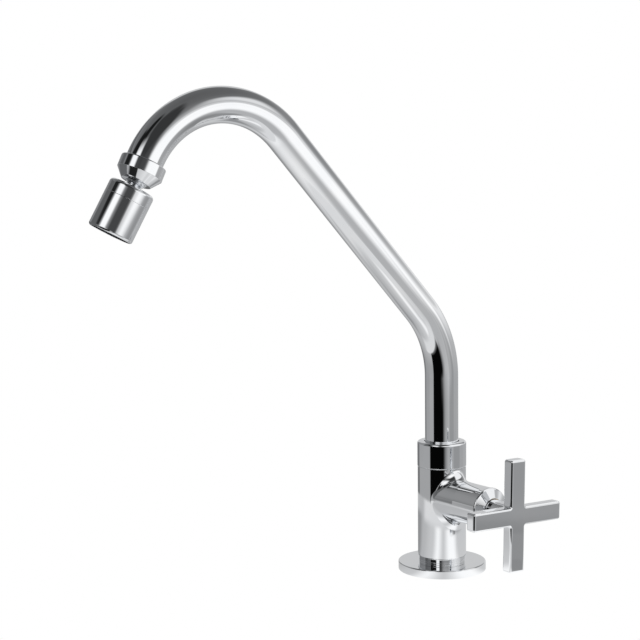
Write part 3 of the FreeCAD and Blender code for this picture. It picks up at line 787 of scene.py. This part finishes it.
# ------------------------------------------------------------------------------------------------ studio
# Brightness of the studio by direction: heading in degrees from +X towards +Y, and height above the horizon.
GAIN = 1.13
BASE = [(-90, 0.841), (-70, 0.923), (-50, 0.795), (-35, 0.707), (-20, 0.609), (-10, 0.622), (0, 0.69), (10, 0.92), (20, 0.641), (35, 0.445), (55, 0.374), (90, 0.34)]
# name, heading, half width, height, half height, softness of the sides, softness of top and bottom, brightness
CARDS = [
    ("root_wall", 153.0, 20.0, 12.0, 18.5, 8.0, 5.7, 0.39),
    ("dark_strip", 157.0, 15.0, 42.0, 13.0, 11.0, 6.0, 0.12),
    ("left_ceiling", -114.0, 26.6, 23.9, 53.6, 23.6, 5.8, 0.26),
    ("left_high", -120.0, 33.0, 51.0, 20.0, 23.0, 10.0, 0.20),
    ("right_ceiling", 175.7, 19.8, 55.0, 18.0, 16.5, 8.2, 0.09),
    ("right_wall", 111.9, 42.8, 18.0, 12.6, 13.7, 1.7, 0.36),
    ("front_flag", -150.7, 35.3, -16.4, 19.5, 4.9, 8.3, 0.02),
    ("lamp", -163.6, 15.4, 30.3, 15.0, 13.0, 16.9, 0.98),
    ("high_box", -42.7, 19.7, 29.4, 8.5, 28.2, 11.5, 0.86),
    ("back_light", 60.0, 19.0, 14.8, 25.0, 10.5, 10.5, 0.76),
    ("left_wall", 84.7, 14.1, -6.0, 12.6, 10.3, 8.1, 0.42),
    ("right_low", -46.6, 7.3, -14.4, 4.0, 10.1, 4.3, 0.30),
    ("low_panel", -21.8, 19.8, -41.4, 18.6, 12.5, 14.4, 0.51),
    ("grey_band", -75.1, 34.1, -36.9, 29.6, 28.4, 13.3, 0.68),
    ("rear_low", 13.9, 23.2, -21.9, 10.5, 14.1, 8.4, 0.67),
    ("rear_high", 0.1, 27.6, 22.4, 5.8, 21.3, 22.9, 0.47),
    ("front_high", -105.2, 21.3, 42.4, 14.1, 8.4, 9.5, 0.20),
    ("band", -54.8, 18.6, 0.1, 13.7, 12.9, 2.5, 0.57),
    ("strip", -62.0, 31.5, 4.6, 6.8, 8.9, 11.0, 0.98),
    ("low_arm", -48.0, 5.0, -15.2, 1.75, 3.0, 0.7, 0.53),
]
# standing panels: heading of the face, distance, shift along it and height of its middle from (-90, 0, 140) mm,
# half width, half height, softness of the sides, softness of top and bottom, brightness
PANELS = [
    ("softbox", -96.3, 273.9, 138.0, 56.0, 211.0, 95.8, 159.6, 125.2, 0.98),
    ("left_card", 99.1, 265.3, 1.7, 48.0, 151.4, 120.7, 12.0, 185.7, 0.54),
    ("head_card", 110.0, 130.0, 94.0, 45.0, 90.0, 35.0, 10.0, 8.0, 0.38),
    ("head_flag", 170.0, 198.0, 24.0, 4.0, 56.0, 44.0, 10.0, 10.0, 0.12),
    ("low_card", 133.0, 388.6, -65.8, -28.0, 378.0, 15.0, 30.0, 8.0, 0.33),
    ("low_flag", -172.5, 360.8, 11.7, -23.0, 120.0, 25.0, 10.0, 10.0, 0.08),
    ("low_lamp", -149.0, 372.9, 46.4, -23.0, 40.0, 25.0, 14.0, 10.0, 0.98),
    ("low_shade", -126.0, 397.1, 72.8, -23.0, 112.0, 25.0, 20.0, 10.0, 0.16),
]
# lights facing down over the handle: middle, half width and depth, height, softness, brightness
OVERHEAD = [("over_handle", 64.0, 62.0, -83.0, 68.0, 110.0, 12.0, 0.93)]
# round table: middle, radius, brightness; then patches by heading and radius
TABLE = (2.6, 10.3, 195.5, 0.77)
PATCHES = [
    ("lobe_left", -142.5, 10.9, 64.6, 70.6, 25.6, 15.0, 0.96),
    ("lobe_right", -90.4, 19.6, 60.1, 70.1, 27.9, 12.6, 0.98),
    ("front_right", -64.6, 27.2, 198.2, 81.8, 21.5, 24.0, 0.55),
    ("left", 121.8, 49.2, 100.0, 130.0, 50.4, 30.5, 0.70),
    ("left_edge", 93.0, 33.0, 70.0, 75.0, 40.0, 30.0, 0.56),
    ("rim", -162.2, 53.4, 174.6, 40.4, 29.6, 29.3, 0.84),
    ("arm_end", -75.0, 4.5, 124.5, 12.0, 3.0, 5.0, 0.53),
]


def cover(t, a, a0, ha, sa, b, b0, hb, sb, turning=True):
    """Weight of a soft-edged box in two coordinates."""
    da = t.math("SUBTRACT", a, float(a0))
    if turning:
        da = t.math("WRAP", da, 180.0, -180.0)
    da, db = t.math("ABSOLUTE", da), t.math("ABSOLUTE", t.math("SUBTRACT", b, float(b0)))
    return t.math("MULTIPLY", t.ramp(da, ha - sa / 2, ha + sa / 2, 1, 0, True), t.ramp(db, hb - sb / 2, hb + sb / 2, 1, 0, True))


def grey(v):
    """Neutral light of a given shown brightness; the darks lean a little to blue."""
    k = 1.0 + 0.025 * (1.0 - v)
    return lin((v, v * (1 + 0.4 * (k - 1)), v * k))


world = bpy.data.worlds.new("studio")
scene.world = world
world.use_nodes = True
w = Nodes(world.node_tree)
out = w.add("ShaderNodeOutputWorld")
bg = w.add("ShaderNodeBackground")
w.link(bg.outputs[0], out.inputs[0])
ray = w.add("ShaderNodeTexCoord").outputs["Generated"]
xyz = w.add("ShaderNodeSeparateXYZ")
w.link(ray, xyz.inputs[0])
heading = w.math("MULTIPLY", w.math("ARCTAN2", xyz.outputs[1], xyz.outputs[0]), 180 / math.pi)
height = w.math("MULTIPLY", w.math("ARCSINE", xyz.outputs[2]), 180 / math.pi)
ramp = w.add("ShaderNodeValToRGB")
w.link(w.ramp(height, -90, 90, 0, 1), ramp.inputs[0])
els = ramp.color_ramp.elements
while len(els) < len(BASE):
    els.new(0.5)
for e, (h, v) in zip(els, BASE):
    e.position = (h + 90) / 180
for e, (h, v) in zip(els, BASE):
    e.color = (*grey(v), 1.0)
tone = ramp.outputs[0]
for name, a0, hw, e0, hh, sa, se, v in CARDS:
    tone = w.mix(cover(w, heading, a0, hw, sa, height, e0, hh, se), tone, grey(v))
seen = w.add("ShaderNodeLightPath").outputs["Is Camera Ray"]
w.link(w.mix(seen, tone, (1.0, 1.0, 1.0)), bg.inputs["Color"])
w.link(w.ramp(seen, 0, 1, GAIN, 1.0), bg.inputs["Strength"])


def stage_mesh(name, points, material):
    me = bpy.data.meshes.new(name)
    me.from_pydata([Vector(p) * 0.001 for p in points], [], [list(range(len(points)))])
    ob = bpy.data.objects.new(name, me)
    scene.collection.objects.link(ob)
    me.materials.append(material)
    return ob


def glow(name):
    m = bpy.data.materials.new(name)
    m.use_nodes = True
    t = Nodes(m.node_tree)
    out = t.add("ShaderNodeOutputMaterial")
    e = t.add("ShaderNodeEmission")
    obj = t.add("ShaderNodeTexCoord").outputs["Object"]
    sep = t.add("ShaderNodeSeparateXYZ")
    t.link(obj, sep.inputs[0])
    return m, t, out, e, [t.math("MULTIPLY", sep.outputs[i], 1000.0) for i in range(3)]


def soft(t, out, e, weight):
    clear, mixed = t.add("ShaderNodeBsdfTransparent"), t.add("ShaderNodeMixShader")
    t.link(weight, mixed.inputs[0])
    t.link(clear.outputs[0], mixed.inputs[1])
    t.link(e.outputs[0], mixed.inputs[2])
    t.link(mixed.outputs[0], out.inputs[0])


for name, a0, dist, shift, rise, hu, hz, su, sz, v in PANELS:
    m, t, out, e, (px, py, pz) = glow(name + "_light")
    e.inputs["Color"].default_value = (*grey(v), 1)
    e.inputs["Strength"].default_value = GAIN
    a = math.radians(a0)
    n, u = Vector((math.cos(a), math.sin(a), 0)), Vector((-math.sin(a), math.cos(a), 0))
    mid = Vector((-90, 0, 140)) + n * dist
    along = t.math("ADD", t.math("MULTIPLY", t.math("SUBTRACT", px, mid.x), u.x), t.math("MULTIPLY", t.math("SUBTRACT", py, mid.y), u.y))
    soft(t, out, e, cover(t, along, shift, hu, su, pz, 140 + rise, hz, sz, False))
    a, b = hu + su / 2 + 1, hz + sz / 2 + 1
    z0, z1 = max(1.0, 140 + rise - b), 140 + rise + b
    ends = [mid + u * (shift - a), mid + u * (shift + a)]
    panel = stage_mesh(name, [(ends[0].x, ends[0].y, z0), (ends[1].x, ends[1].y, z0), (ends[1].x, ends[1].y, z1), (ends[0].x, ends[0].y, z1)], m)
    panel.visible_camera = False

for name, x0, hx, y0, hy, z, blur, v in OVERHEAD:
    m, t, out, e, (px, py, pz) = glow(name + "_light")
    e.inputs["Color"].default_value = (*grey(v), 1)
    e.inputs["Strength"].default_value = GAIN
    back = t.add("ShaderNodeNewGeometry").outputs["Backfacing"]
    soft(t, out, e, t.math("MULTIPLY", cover(t, px, x0, hx, blur, py, y0, hy, blur, False), t.math("SUBTRACT", 1.0, back)))
    a, b = hx + blur / 2 + 1, hy + blur / 2 + 1
    panel = stage_mesh(name, [(x0 - a, y0 - b, z), (x0 - a, y0 + b, z), (x0 + a, y0 + b, z), (x0 + a, y0 - b, z)], m)
    panel.visible_camera = False

m, t, out, e, (px, py, pz) = glow("table_light")
cx, cy, radius, v = TABLE
dx, dy = t.math("SUBTRACT", px, cx), t.math("SUBTRACT", py, cy)
far = t.math("SQRT", t.math("ADD", t.math("MULTIPLY", dx, dx), t.math("MULTIPLY", dy, dy)))
way = t.math("MULTIPLY", t.math("ARCTAN2", dy, dx), 180 / math.pi)
tone = t.mix(0.0, grey(v), grey(v))
for name, a0, ha, r0, hr, sa, sr, pv in PATCHES:
    tone = t.mix(cover(t, way, a0, ha, sa, far, r0, hr, sr), tone, grey(pv))
t.link(tone, e.inputs["Color"])
e.inputs["Strength"].default_value = GAIN
soft(t, out, e, t.ramp(far, radius - 6, radius + 6, 1, 0, True))
ring = [2 * math.pi * k / 96 for k in range(96)]
table = stage_mesh("table", [(cx + (radius + 7) * math.cos(a), cy + (radius + 7) * math.sin(a), 0.02) for a in ring], m)
table.visible_camera = False

m, t, out, e, _ = glow("white_floor")
e.inputs["Color"].default_value = (1, 1, 1, 1)
# seen from below, the floor is clear
soft(t, out, e, t.math("SUBTRACT", 1.0, t.add("ShaderNodeNewGeometry").outputs["Backfacing"]))
floor = stage_mesh("floor", [(4000 * math.cos(a), 4000 * math.sin(a), -0.02) for a in ring], m)
floor.visible_glossy = floor.visible_diffuse = floor.visible_transmission = floor.visible_shadow = False

# ------------------------------------------------------------------------------------------------ camera
cam = bpy.data.cameras.new("camera")
view = bpy.data.objects.new("camera", cam)
scene.collection.objects.link(view)
scene.camera = view
cam.sensor_width = 36.0
cam.lens = 1563.38 / 640 * 36.0
cam.clip_start, cam.clip_end = 0.01, 50.0
head, pitch, roll = math.radians(55.25), math.radians(-6.22), math.radians(-0.67)
fwd = Vector((math.cos(head) * math.cos(pitch), math.sin(head) * math.cos(pitch), math.sin(pitch)))
right = Vector((math.sin(head), -math.cos(head), 0))
up = right.cross(fwd)
r2 = right * math.cos(roll) + up * math.sin(roll)
u2 = up * math.cos(roll) - right * math.sin(roll)
view.matrix_world = Matrix(((r2.x, u2.x, -fwd.x, -0.56099), (r2.y, u2.y, -fwd.y, -0.68754), (r2.z, u2.z, -fwd.z, 0.24159), (0, 0, 0, 1)))

scene.view_settings.view_transform = "Standard"
scene.view_settings.look = "None"
scene.view_settings.exposure = 0.0
scene.view_settings.gamma = 1.0
